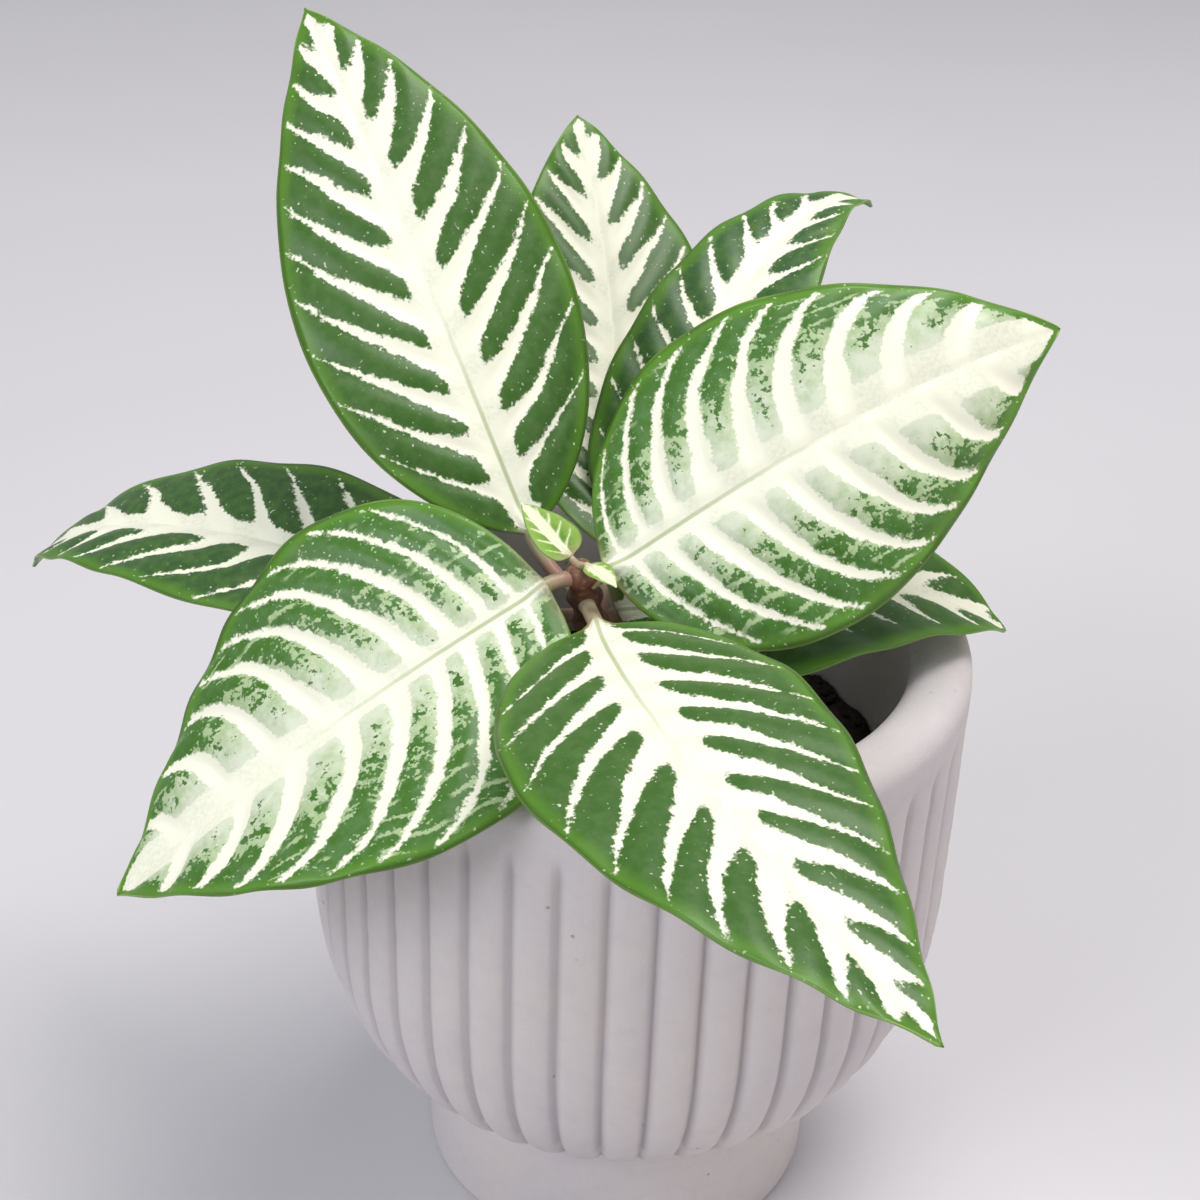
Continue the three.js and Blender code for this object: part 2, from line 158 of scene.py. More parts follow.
# ---------------------------------------------------------------- node graphs
class Graph:
    """A short way to write a material's nodes."""

    def __init__(self, name):
        self.mat = bpy.data.materials.new(name)
        self.mat.use_nodes = True
        self.tree = self.mat.node_tree
        self.tree.nodes.clear()
        self.out = self.tree.nodes.new("ShaderNodeOutputMaterial")
        self.bsdf = self.tree.nodes.new("ShaderNodeBsdfPrincipled")
        self.tree.links.new(self.bsdf.outputs[0], self.out.inputs[0])

    def put(self, socket, value):
        if isinstance(value, bpy.types.NodeSocket):
            self.tree.links.new(value, socket)
        else:
            socket.default_value = value

    def m(self, op, *args):
        node = self.tree.nodes.new("ShaderNodeMath")
        node.operation = op
        for socket, value in zip(node.inputs, args):
            self.put(socket, value)
        return node.outputs[0]

    def add(self, a, b):
        return self.m("ADD", a, b)

    def sub(self, a, b):
        return self.m("SUBTRACT", a, b)

    def mul(self, a, b):
        return self.m("MULTIPLY", a, b)

    def abs(self, a):
        return self.m("ABSOLUTE", a)

    def step(self, x, lo, hi, a=0.0, b=1.0):
        """a at lo and b at hi, with a soft step between."""
        node = self.tree.nodes.new("ShaderNodeMapRange")
        node.interpolation_type = "SMOOTHSTEP"
        for socket, value in zip(node.inputs, (x, lo, hi, a, b)):
            self.put(socket, value)
        return node.outputs[0]

    def split(self, vector):
        node = self.tree.nodes.new("ShaderNodeSeparateXYZ")
        self.tree.links.new(vector, node.inputs[0])
        return node.outputs

    def uv(self, layer):
        node = self.tree.nodes.new("ShaderNodeUVMap")
        node.uv_map = layer
        return self.split(node.outputs[0])[:2]

    def vec(self, x, y, z):
        node = self.tree.nodes.new("ShaderNodeCombineXYZ")
        for socket, value in zip(node.inputs, (x, y, z)):
            self.put(socket, value)
        return node.outputs[0]

    def place(self):
        """Where the point is on the object, in millimetres."""
        node = self.tree.nodes.new("ShaderNodeTexCoord")
        scale = self.tree.nodes.new("ShaderNodeVectorMath")
        scale.operation = "SCALE"
        self.tree.links.new(node.outputs["Object"], scale.inputs[0])
        scale.inputs["Scale"].default_value = 1 / MM
        return scale.outputs[0]

    def noise(self, at, scale, detail=2.0, rough=0.5):
        node = self.tree.nodes.new("ShaderNodeTexNoise")
        self.put(node.inputs["Vector"], at)
        for key, value in (("Scale", scale), ("Detail", detail), ("Roughness", rough)):
            node.inputs[key].default_value = value
        return node.outputs[0]

    def cells(self, at, scale):
        node = self.tree.nodes.new("ShaderNodeTexVoronoi")
        self.put(node.inputs["Vector"], at)
        node.inputs["Scale"].default_value = scale
        return node.outputs["Distance"]

    def mix(self, fac, a, b):
        node = self.tree.nodes.new("ShaderNodeMix")
        node.data_type = "RGBA"
        self.put(node.inputs[0], fac)
        self.put(node.inputs[6], a)
        self.put(node.inputs[7], b)
        return node.outputs[2]

    def bump(self, height, strength, distance_mm):
        node = self.tree.nodes.new("ShaderNodeBump")
        self.put(node.inputs["Height"], height)
        node.inputs["Strength"].default_value = strength
        node.inputs["Distance"].default_value = distance_mm * MM
        return node.outputs[0]

    def finish(self, color, rough, normal=None, specular=None):
        self.put(self.bsdf.inputs["Base Color"], color)
        self.put(self.bsdf.inputs["Roughness"], rough)
        if normal is not None:
            self.put(self.bsdf.inputs["Normal"], normal)
        if specular is not None:
            self.bsdf.inputs["Specular IOR Level"].default_value = specular
        return self.mat


# ---------------------------------------------------------------- leaf shape
def stem_share(height):
    """0 at the stem's foot, 1 at its tip."""
    return (height - STEM_FOOT[2]) / (STEM_TOP[2] - STEM_FOOT[2])


def stem_at(height):
    return STEM_FOOT + (STEM_TOP - STEM_FOOT) * stem_share(height)


def stem_taper(height):
    return STEM_R0 + (STEM_R1 - STEM_R0) * stem_share(height)


def node_gap(height):
    """How far the nearest node of the stem is, up or down."""
    return min(abs(h - height) for h in NODES.values())


def outline(s, belly, point):
    """The blade's width along its length, 1 at its widest."""
    a = belly / (1 - belly) * point
    return np.clip(s, 0, 1) ** a * np.clip(1 - s, 0, 1) ** point / (belly ** a * (1 - belly) ** point)


def leaf_root(spec):
    """Where the stalk leaves the stem, and how much more of it is inside."""
    out = heading(np.array(spec["azimuth"] * DEG), np.array(0.0))
    if spec["node"] == "tip":
        return STEM_TOP + out * CORE + np.array([0, 0, 1.0]), CORE
    height = NODES[spec["node"]]
    lean = abs(float((STEM_TOP - STEM_FOOT) @ out)) / (STEM_TOP[2] - STEM_FOOT[2])
    radius = stem_taper(height) + SWELL * max(0.0, 1 - node_gap(height) / 2.5)
    off = radius + 0.3 + lean * (STALK + 0.5)
    return stem_at(height) + out * off, off - CORE


def centre_line(spec, rows):
    """Points and directions along the stalk and then along the blade, one row each."""
    az0 = spec["azimuth"] * DEG
    rise, lift, droop, sweep = (spec[key] * DEG for key in ("rise", "lift", "droop", "sweep"))
    root, inside = leaf_root(spec)
    slopes = rise + (lift - rise) * (np.arange(STALK_STEPS) + 0.5) / STALK_STEPS
    stalk = [root - heading(np.array(az0), np.array(rise)) * inside, root]
    for slope in slopes:
        stalk.append(stalk[-1] + heading(np.array(az0), np.array(slope)) * spec["petiole"] / STALK_STEPS)
    stalk = np.array(stalk)
    s = np.linspace(0, 1, rows + 1)
    mid = (s[:-1] + s[1:]) / 2
    slope = lift + (droop - lift) * mid ** spec["bend"]
    step = heading(az0 + sweep * mid, slope) * spec["length"] / rows
    blade = np.vstack([stalk[-1], stalk[-1] + np.cumsum(step, 0)])
    az = az0 + sweep * s
    tangent = heading(az, lift + (droop - lift) * s ** spec["bend"])
    level = np.stack([-np.sin(az), np.cos(az), 0 * az], -1)
    upward = np.cross(tangent, level)
    roll = (spec["roll"] + spec["twist"] * s) * DEG
    c, k = np.cos(roll)[:, None], np.sin(roll)[:, None]
    side, normal = level * c + upward * k, upward * c - level * k
    # the stalk's rows come first, and lie as the blade's first row does
    before = len(stalk) - 1
    centre = np.vstack([stalk[:-1], blade])
    side = np.vstack([np.repeat(side[:1], before, 0), side])
    normal = np.vstack([np.repeat(normal[:1], before, 0), normal])
    share = np.concatenate([np.zeros(before), s])
    stalk_along = -np.linalg.norm(stalk[:-1] - stalk[-1], axis=1)
    along = np.concatenate([stalk_along, s * spec["length"]])
    in_blade = np.concatenate([np.zeros(before), np.ones(rows + 1)])
    return centre, side, normal, share, along, in_blade


def half_widths(spec, stalk, share, along, in_blade):
    """The rib's radius, and the half width of the blade or the stalk, in each row."""
    heel = 1 + 0.25 * smooth(-along, spec["petiole"], spec["petiole"] + 3)
    rib = stalk * np.where(in_blade > 0, 1 - 0.78 * share ** 0.7, heel)
    blade = spec["width"] / 2 * outline(share, spec["belly"], spec["point"])
    w = np.maximum(blade, rib * np.clip((1 - share) * 30, 0, 1))
    return rib, np.where(in_blade > 0, w, rib)


def side_veins(look, S, x, at, along, length, seed):
    """A phase that counts the side veins, where each leaves the midrib, and the gap between them.

    A vein leaves the midrib at the share "start" of the blade's length and arches forward from there.
    """
    f0, f1, f2 = look["fan"]
    h0, h1, h2 = look["hook"]
    gap, grow = look["pitch"], look["grow"]
    start = S - 0 * x
    for _ in range(VEIN_ROUNDS):
        slant = (f0 + f1 * start + f2 * start ** 2) * (h0 + h1 * at + h2 * at ** 5)
        start = 0.6 * start + 0.4 * np.clip(S - np.abs(x) / length * slant, -0.25, 1)
    phase = (start - FIRST_VEIN) / gap / (1 + grow * start) + 0.5
    wobble = 0.13 * ripple(along / 9, x / 9, 0 * x, 1.0, seed=seed)
    phase = phase + np.where(x > 0, look["offset"], 0.0) + wobble
    slant = (f0 + f1 * start + f2 * start ** 2) * (h0 + 2 * h1 * at + 6 * h2 * at ** 5)
    pitch = gap * (1 + grow * start) ** 2 * length / np.sqrt(1 + slant ** 2)
    return phase, start, pitch


def white_veins(look, at, start, pitch, length):
    """The half width of the white along each side vein. It is below 0 where there is none."""
    reach = look["reach"]
    white = look["vein"] * (1 - 0.35 * at) * np.clip((reach - at) / reach, 0, 1) ** look["taper"]
    white = np.where(at > reach, -25.0 * (at - reach), white)
    crowded = np.clip(pitch / (look["full"] * look["pitch"] * length), 0.25, 1.15)
    white = np.where(white > 0, white * crowded, white)
    return white * np.clip(0.35 + 4 * start, 0.3, 1) - 3.0 * smooth(-start, -0.02, 0.02)


def leaf_corners(upper, lower, centre):
    """The points of both skins, which share the margins and the tip, and which points each skin has."""
    rows, columns = upper.shape[:2]
    last = rows - 1
    verts = list(upper[:last].reshape(-1, 3))
    top_id = np.zeros((rows, columns), int)
    top_id[:last] = np.arange(last * columns).reshape(last, columns)
    bot_id = top_id.copy()
    bot_id[:last, 1:-1] = len(verts) + np.arange(last * (columns - 2)).reshape(last, columns - 2)
    verts += list(lower[:last, 1:-1].reshape(-1, 3))
    top_id[last] = bot_id[last] = len(verts)
    return verts + [centre[-1], centre[0]], top_id, bot_id


def build_leaf(name, row, materials, look, rows=132, half=26, stalk=STALK, thick=0.5):
    """One closed leaf: stalk and blade in one skin, and the layers that its markings are made from."""
    spec = dict(zip(KEYS, row))
    length, width = spec["length"], spec["width"]
    centre, side, normal, share, along, in_blade = centre_line(spec, rows)
    rib, w = half_widths(spec, stalk, share, along, in_blade)
    # from here, rows run along the leaf and columns across it
    S, along, in_blade, rib, w = (line[:, None] for line in (share, along, in_blade, rib, w))
    u = np.linspace(-1, 1, 2 * half + 1)[None, :]
    T = np.sign(u) * np.abs(u) ** CROWDING
    x = np.where(in_blade > 0, w * T, rib * np.sin(u * math.pi / 2))
    ax, at = np.abs(x), np.abs(T) + 0 * S
    phase, start, pitch = side_veins(look, S, x, at, along, length, len(name) + int(length))
    # relief: the veins are sunk, the tissue between them is raised, and the margin waves
    quilt = look["quilt"] * length / 110
    inner = smooth(ax, 1.0, 6.0) * (1 - at ** 5) * in_blade
    off_vein = np.abs((phase + 0.5) % 1 - 0.5) * pitch
    groove = -0.9 * quilt * np.exp(-(off_vein / 1.5) ** 2) * inner * smooth(start, 0.0, 0.05)
    puff = quilt * (0.5 - 0.5 * np.cos(2 * math.pi * phase)) * inner * smooth(start, 0.0, 0.06)
    trough = -0.5 * np.exp(-(x / (0.55 + 0.9 * rib)) ** 2) * (1 - 0.75 * S) * in_blade
    wave = look["wave"] * at ** 4 * np.sin(2 * math.pi * (phase * 0.5 + 0.2)) * in_blade
    swell = 0.5 * ripple(along / 26, x / 22, 0 * x, 1.0, seed=int(width)) * in_blade * smooth(ax, 0, 12)
    relief = groove + puff + wave + swell
    fold = spec["fold"] * (np.sqrt(T ** 2 + 0.002) - 0.0447)
    bow = w * (fold - spec["curl"] * T ** 2) * in_blade
    fade_in = smooth(along, 0, 6)
    edge = np.sqrt(np.clip(1 - at ** 10, 0, 1))
    skin = thick * (0.35 + 0.65 * edge) / 2 * in_blade
    round_rib = np.sqrt(np.clip(rib ** 2 - x ** 2, 0, None))
    top = bow + (relief + trough) * fade_in + skin + round_rib * (1 - fade_in)
    bot = bow + relief * fade_in * (1 - 0.2 * S) - skin - round_rib * (1 - 0.15 * fade_in)
    for margin in (0, -1):
        top[:, margin] = bot[:, margin] = (top[:, margin] + bot[:, margin]) / 2
    flat = centre[:, None, :] + side[:, None, :] * x[..., None]
    upper, lower = (flat + normal[:, None, :] * lift[..., None] for lift in (top, bot))
    verts, top_id, bot_id = leaf_corners(upper, lower, centre)
    # layers for the markings
    band = np.interp(share, BAND_AT, look["band"])[:, None]
    white = white_veins(look, at, start, pitch, length)
    fields = {
        "Leaf": np.stack([np.broadcast_to(along, x.shape) / UV_LONG, x / UV_LONG], -1),
        "Vein": np.stack([phase, np.hypot(ax, (S - start) * length) / UV_SHORT], -1),
        "Marks": np.stack([(band - ax) / UV_SHORT, white / UV_SHORT], -1),
        "Areole": np.stack([pitch / UV_SHORT, (np.maximum(w, 0.5) - ax) / UV_SHORT], -1),
    }
    # the bake layer: the upper skin in the left half, the lower skin in the right half
    bake_u = x / (width * 1.04) * 0.5 + 0.25
    bake_v = (along - along[0]) / (along[-1] - along[0]) * 0.98 + 0.01 + 0 * x
    bake = np.stack([bake_u, bake_v], -1)
    faces, index = [], []
    layers = {key: [] for key in ("OFBake", *fields)}

    def put(face, cells, slot):
        faces.append(face)
        index.append(slot)
        for cell in cells:
            layers["OFBake"].append(bake[cell] + (0.5 * slot, 0))
            for key, value in fields.items():
                layers[key].append(value[cell])

    last = len(share) - 1
    for i in range(last):
        for j in range(2 * half):
            a, b, d, e = (i, j), (i, j + 1), (i + 1, j), (i + 1, j + 1)
            cells = [a, d, e, b] if i + 1 < last else [a, d, b]
            turned = cells[::-1]
            put([top_id[cell] for cell in turned], turned, 0)
            put([bot_id[cell] for cell in cells], cells, 1)
    # the stalk's cut end, inside the stem
    heel = len(verts) - 1
    middle = (0, half)
    for j in range(2 * half):
        a, b = (0, j), (0, j + 1)
        put([top_id[a], top_id[b], heel], [a, b, middle], 0)
        put([bot_id[b], bot_id[a], heel], [b, a, middle], 1)
    obj = make_object(name + "_blade", verts, faces, materials, index, layers)
    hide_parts(name)
    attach(obj, "root")


# ---------------------------------------------------------------- leaf materials
def leaf_material(name, seed, pale=0.0, young=False, under=False, green=(56, 98, 28), fresh=(86, 134, 34),
                  cream=(243, 243, 222), cool=(72, 108, 48), margin=1.3):
    """White along the midrib and the side veins, on greens. Above 0, pale bleaches the tissue too."""
    g = Graph(name)
    x, y = g.uv("Leaf")
    phase, run = g.uv("Vein")
    band, vein = g.uv("Marks")
    pitch, rim = g.uv("Areole")
    rim_mm = g.mul(rim, UV_SHORT)
    at = g.vec(g.mul(x, UV_LONG), g.mul(y, UV_LONG), seed)
    size = 5.0 if young else 1.0
    slow = g.noise(at, 0.07 * size, 1.0)
    mid = g.noise(at, 0.42 * size, 2.0, 0.6)
    fine = g.noise(at, 1.25 * size, 3.0, 0.65)
    fine_0 = g.sub(fine, 0.5)
    mid_0 = g.sub(mid, 0.5)
    turn = g.add(phase, g.mul(g.sub(slow, 0.5), 0.4))
    off = g.mul(g.abs(g.sub(g.m("FRACT", g.add(turn, 0.5)), 0.5)), g.mul(pitch, UV_SHORT))
    side = g.sub(g.mul(vein, UV_SHORT), off)
    field = g.m("SMOOTH_MAX", g.mul(band, UV_SHORT), side, (2.0 if pale else 3.6) / size)
    rough_edge = g.add(g.mul(fine_0, 1.9 / size), g.mul(mid_0, 1.5 / size))
    inland = g.mul(g.sub(rim_mm, margin / size), 1.4)
    field = g.add(g.m("SMOOTH_MIN", field, inland, 1.0 / size), rough_edge)
    white = g.step(field, -0.22, 0.28)
    spots = g.mul(g.step(g.noise(at, 1.5 * size, 0.0), 0.785, 0.825), g.step(field, -3.0, -0.8))
    white = g.m("MAXIMUM", white, g.mul(spots, 0.6))
    # greens: livelier towards the margin, with a thin pale rim
    deep = g.mix(g.step(mid, 0.3, 0.75), srgb(*green), srgb(*cool))
    lively = g.step(g.sub(rim_mm, g.mul(slow, 2.0)), 3.2, 0.2)
    body = g.mix(g.mul(lively, 0.75), deep, srgb(*fresh))
    body = g.mix(g.step(rim_mm, 0.5, 0.15), body, srgb(132, 168, 84))
    # whites: cream veins, faintly greener tissue between them
    tissue = g.mul(g.step(off, 1.4, 3.4), g.step(fine, 0.25, 0.8))
    light = g.mix(g.mul(tissue, 0.55), srgb(*cream), srgb(206, 214, 190))
    if pale:
        # by the midrib the tissue is bleached, and further out green blotches stay
        out = g.m("DIVIDE", g.abs(y), g.add(g.abs(y), g.mul(rim, UV_SHORT / UV_LONG)))
        ask = g.m("DIVIDE", g.sub(out, g.m("MULTIPLY_ADD", x, 0.4, pale)), 0.4)
        centre = g.m("DIVIDE", off, g.mul(pitch, UV_SHORT / 2))
        lump = g.add(g.mul(g.sub(g.noise(at, 0.36, 1.0, 0.5), 0.5), 2.5), g.mul(fine_0, 2.6))
        keep = g.add(g.add(g.m("MINIMUM", ask, 1.1), g.mul(g.sub(centre, 0.5), 0.5)), lump)
        greens = g.step(keep, 0.48, 0.62)
        # pale veinlets cross from one side vein to the next and part the blotches
        rungs = g.add(g.add(g.mul(run, 2.1), g.mul(g.m("FLOOR", turn), 0.37)), g.mul(slow, 2.0))
        rung = g.add(g.mul(g.abs(g.sub(g.m("FRACT", rungs), 0.5)), 4.7), g.mul(fine_0, 2.6))
        rung = g.m("MAXIMUM", g.step(rung, 0.3, 0.65), g.step(g.noise(at, 0.11, 1.0), 0.57, 0.5))
        greens = g.mul(greens, rung)
        edge = g.add(rim_mm, g.mul(fine_0, 3.4))
        greens = g.m("MAXIMUM", greens, g.step(edge, 2.7, 2.1))
        bleached = g.step(g.add(ask, g.mul(mid_0, 1.8)), -0.7, 0.7)
        wash = g.mix(bleached, srgb(214, 221, 198), srgb(166, 189, 140))
        body = g.mix(greens, wash, body)
    color = g.mix(white, body, light)
    # the midrib's line, and the stalk
    thin = g.step(g.abs(g.mul(y, UV_LONG)), 0.62 / size, 0.2 / size)
    line = g.mul(thin, g.step(x, 0.62 / size, 0.1 / size, 0.0, 0.75))
    color = g.mix(line, color, srgb(156, 172, 120))
    stalk = g.step(x, 0.03, -0.02)
    blush = g.mix(g.step(slow, 0.35, 0.65), srgb(174, 164, 132), srgb(160, 116, 102))
    color = g.mix(stalk, color, blush)
    if under:
        color = g.mix(0.62, color, srgb(122, 152, 100))
        rough = g.add(0.5, g.mul(fine, 0.1))
    else:
        rough = g.add(g.mul(white, 0.06), g.add(0.33, g.mul(mid, 0.12)))
    grain = g.noise(at, 4.5 * size, 2.0, 0.6)
    normal = g.bump(g.add(g.mul(grain, 0.5), g.mul(fine, 0.6)), 0.35, 0.12)
    return g.finish(color, rough, normal, specular=0.4)


def leaf_skins(name, paint):
    return [leaf_material(name + "_top", **paint), leaf_material(name + "_under", under=True, **paint)]


# A look sets a leaf's veins and relief.
# band: the half width of the white by the midrib, at the shares in BAND_AT.
# vein, reach and taper: how wide the white is on a side vein, how far out it goes and how it narrows.
# full: the spacing of the veins that allows that width, as a share of the pitch.
# pitch and grow: the spacing of the side veins at the blade's start, and how it grows towards the tip.
# fan and hook: how far forward a side vein arches, by where it starts and by how far out it is.
# offset: how far the veins of one half are ahead of the other's, in spacings.
# quilt and wave: the relief between the veins and at the margin.
plain = dict(taper=0.5, full=0.8, grow=0.28, fan=(0.8, 0.1, 1.5), hook=(0.62, 0.38, 0.0), offset=0.32,
             wave=0.5, slot="leaf")
dark = dict(plain, band=(2.2, 3.6, 4.2, 3.0, 2.0, 1.4, 0.4), vein=2.35, reach=0.95, taper=0.8,
            quilt=0.35, pitch=0.072)
broad = dict(plain, band=(1.0, 1.5, 2.6, 3.8, 4.6, 4.2, 2.0), vein=2.2, reach=0.98, taper=0.22,
             quilt=0.6, pitch=0.058, grow=0.75, full=1.6, wave=0.6,
             fan=(0.25, 1.5, -1.1), hook=(0.1, 0.8, 0.4))
tender = dict(plain, band=(0.5, 0.7, 1.1, 1.2, 1.1, 0.8, 0.2), vein=0.3, reach=0.85,
              quilt=1.2, pitch=0.15, wave=0.1, slot="young_leaf")
lush = dict(margin=1.65, green=(64, 110, 30), fresh=(92, 142, 38), cool=(80, 122, 62))
looks = {
    "upper_leaf_right": dict(broad, offset=0.4, band=(1.2, 2.2, 4.2, 5.6, 5.8, 4.6, 2.0), vein=2.5),
    "upper_leaf_left": dict(broad, offset=0.2),
    "middle_leaf_back": dict(dark, offset=0.35),
    "middle_leaf_front": dict(dark, offset=0.45, band=(2.2, 3.6, 4.1, 2.7, 1.7, 1.1, 0.3)),
    "lower_leaf_left": dict(dark, offset=0.3, band=(1.5, 2.6, 3.4, 2.8, 2.2, 1.6, 0.6), vein=1.9,
                            pitch=0.085),
    "lower_leaf_right": dict(dark, offset=0.5, pitch=0.11, vein=1.9, reach=0.72),
    "bottom_leaf_back": dict(dark, offset=0.4),
    "bottom_leaf_right": dict(dark, offset=0.3, vein=1.5),
    "young_leaf_back": tender,
    "young_leaf_front": dict(tender, band=(0.5, 0.9, 1.3, 1.3, 1.1, 0.7, 0.2), vein=0.1),
}
paints = {
    "upper_leaf_right": dict(lush, pale=0.2, seed=3.0),
    "upper_leaf_left": dict(lush, pale=0.08, seed=11.0),
    "middle_leaf_back": dict(seed=23.0),
    "middle_leaf_front": dict(seed=37.0),
    "lower_leaf_left": dict(seed=41.0, green=(50, 86, 40)),
    "lower_leaf_right": dict(seed=53.0),
    "bottom_leaf_back": dict(seed=61.0),
    "bottom_leaf_right": dict(seed=71.0, green=(50, 88, 42)),
}
young_paint = dict(seed=83.0, young=True, green=(100, 144, 38), fresh=(136, 174, 58), cool=(88, 136, 42),
                   cream=(238, 243, 205))
for name, row in LEAVES.items():
    build_leaf(name, row, leaf_skins(name, paints[name]), looks[name])
for name, row in YOUNG.items():
    build_leaf(name, row, leaf_skins(name, young_paint), looks[name], rows=40, half=12, stalk=0.7, thick=0.35)


# ---------------------------------------------------------------- pot
def bowl_radius(height):
    """The bowl's wall, a part of a superellipse."""
    rise = np.clip((height - FOOT_HEIGHT) / BOWL_ROUND, 0, 1)
    turn = np.arccos(np.clip((1 - rise) ** (BOWL_POWER / 2), 0, 1))
    return BOWL_FLOOR + (RIM_RADIUS - BOWL_FLOOR) * np.sin(turn) ** (2 / BOWL_POWER)


def pot_rows():
    """Radius, height and groove depth in each row: from under the foot, over the rim, to the hollow."""
    foot_flat = FOOT_RADIUS - FOOT_ROUND
    rows = [(0.0, 0.0, 0.0), (20.0, 0.0, 0.0), (foot_flat, 0.0, 0.0)]
    for a in np.linspace(0, 90, 5)[1:] * DEG:
        rows.append((foot_flat + FOOT_ROUND * math.sin(a), FOOT_ROUND - FOOT_ROUND * math.cos(a), 0.0))
    rows += [(FOOT_RADIUS, z, 0.0) for z in np.linspace(3, FOOT_HEIGHT - 0.4, 12)]
    for k in np.linspace(0, 1, 44) ** 1.7:
        z = FOOT_HEIGHT + 0.6 + (BOWL_ROUND - 0.6) * k
        r = float(bowl_radius(z))
        if r > FOOT_RADIUS + 0.8:
            nose = smooth(r, FOOT_RADIUS, FOOT_RADIUS + 3)
            rows.append((r, z, REED_DEPTH * (0.55 + 0.45 * nose)))
    fade = REED_TOP - REED_FADE
    rows += [(RIM_RADIUS, z, REED_DEPTH) for z in np.linspace(FOOT_HEIGHT + BOWL_ROUND + 2, fade, 18)]
    for z in np.linspace(fade, REED_TOP + 1, 12)[1:]:
        rows.append((RIM_RADIUS, z, REED_DEPTH * float(1 - smooth(z, fade, REED_TOP + 1))))
    for a in np.linspace(0, 90, 8) * DEG:
        z = POT_HEIGHT - RIM_ROUND * (1 - math.sin(a))
        rows.append((RIM_RADIUS - RIM_ROUND * (1 - math.cos(a)), z, 0.0))
    rows.append(((RIM_RADIUS + RIM_INNER) / 2, POT_HEIGHT + 0.15, 0.0))
    for a in np.linspace(90, 0, 8) * DEG:
        z = POT_HEIGHT - RIM_ROUND * (1 - math.sin(a))
        rows.append((RIM_INNER + RIM_ROUND * (1 - math.cos(a)), z, 0.0))
    rows += [(RIM_INNER, z, 0.0) for z in np.linspace(POT_HEIGHT - RIM_ROUND - 3, WALL_END, 16)]
    for a in np.linspace(0, 84, 10)[1:] * DEG:
        z = CAVITY_TURN - (CAVITY_TURN - CAVITY_FLOOR) * math.sin(a)
        rows.append((RIM_INNER * math.cos(a), z, 0.0))
    rows.append((0.0, CAVITY_FLOOR, 0.0))
    return rows


def build_pot(material, uneven=0.14):
    """The section turned about the axis, with the grooves pressed in and a slightly uneven surface."""
    rows = pot_rows()
    sides = REEDS * POINTS_PER_REED
    ring = ring_angles(sides)
    # 0 on a reed's crest and 1 in the groove's bottom
    cell = np.abs(((ring / (2 * math.pi) * REEDS) % 1) * 2 - 1)
    groove = 1 - np.sqrt(np.clip(1 - 0.94 * cell ** 2.2, 0, 1)) + 0.15 * cell ** 2
    verts, ids = [], []
    for r, z, depth in rows:
        if r == 0:
            ids.append([len(verts)])
            verts.append((0, 0, z))
            continue
        px, py = (r - depth * groove) * np.cos(ring), (r - depth * groove) * np.sin(ring)
        level = z + 0 * px
        bumpy = uneven * (ripple(px, py, level, 0.16, 5) + 0.5 * ripple(px, py, level, 0.5, 9))
        px, py = px + bumpy * np.cos(ring), py + bumpy * np.sin(ring)
        ids.append(list(range(len(verts), len(verts) + sides)))
        verts += list(np.stack([px, py, np.full(sides, float(z))], -1))
    steps = [math.hypot(b[0] - a[0], b[1] - a[1]) for a, b in zip(rows, rows[1:])]
    length = np.concatenate([[0], np.cumsum(steps)])
    length = length / length[-1]
    faces, uv = [], []
    for i, (a, b) in enumerate(zip(ids, ids[1:])):
        v0, v1 = length[i], length[i + 1]
        for k in range(sides):
            u0, u1 = k / sides, (k + 1) / sides
            faces.append(ring_face(a, b, k, sides))
            if len(a) == 1:
                uv += [((u0 + u1) / 2, v0), (u1, v1), (u0, v1)]
            elif len(b) == 1:
                uv += [(u0, v0), (u1, v0), ((u0 + u1) / 2, v1)]
            else:
                uv += [(u0, v0), (u1, v0), (u1, v1), (u0, v1)]
    return make_object("pot_body", verts, faces, [material], uvs={"OFBake": np.array(uv)})


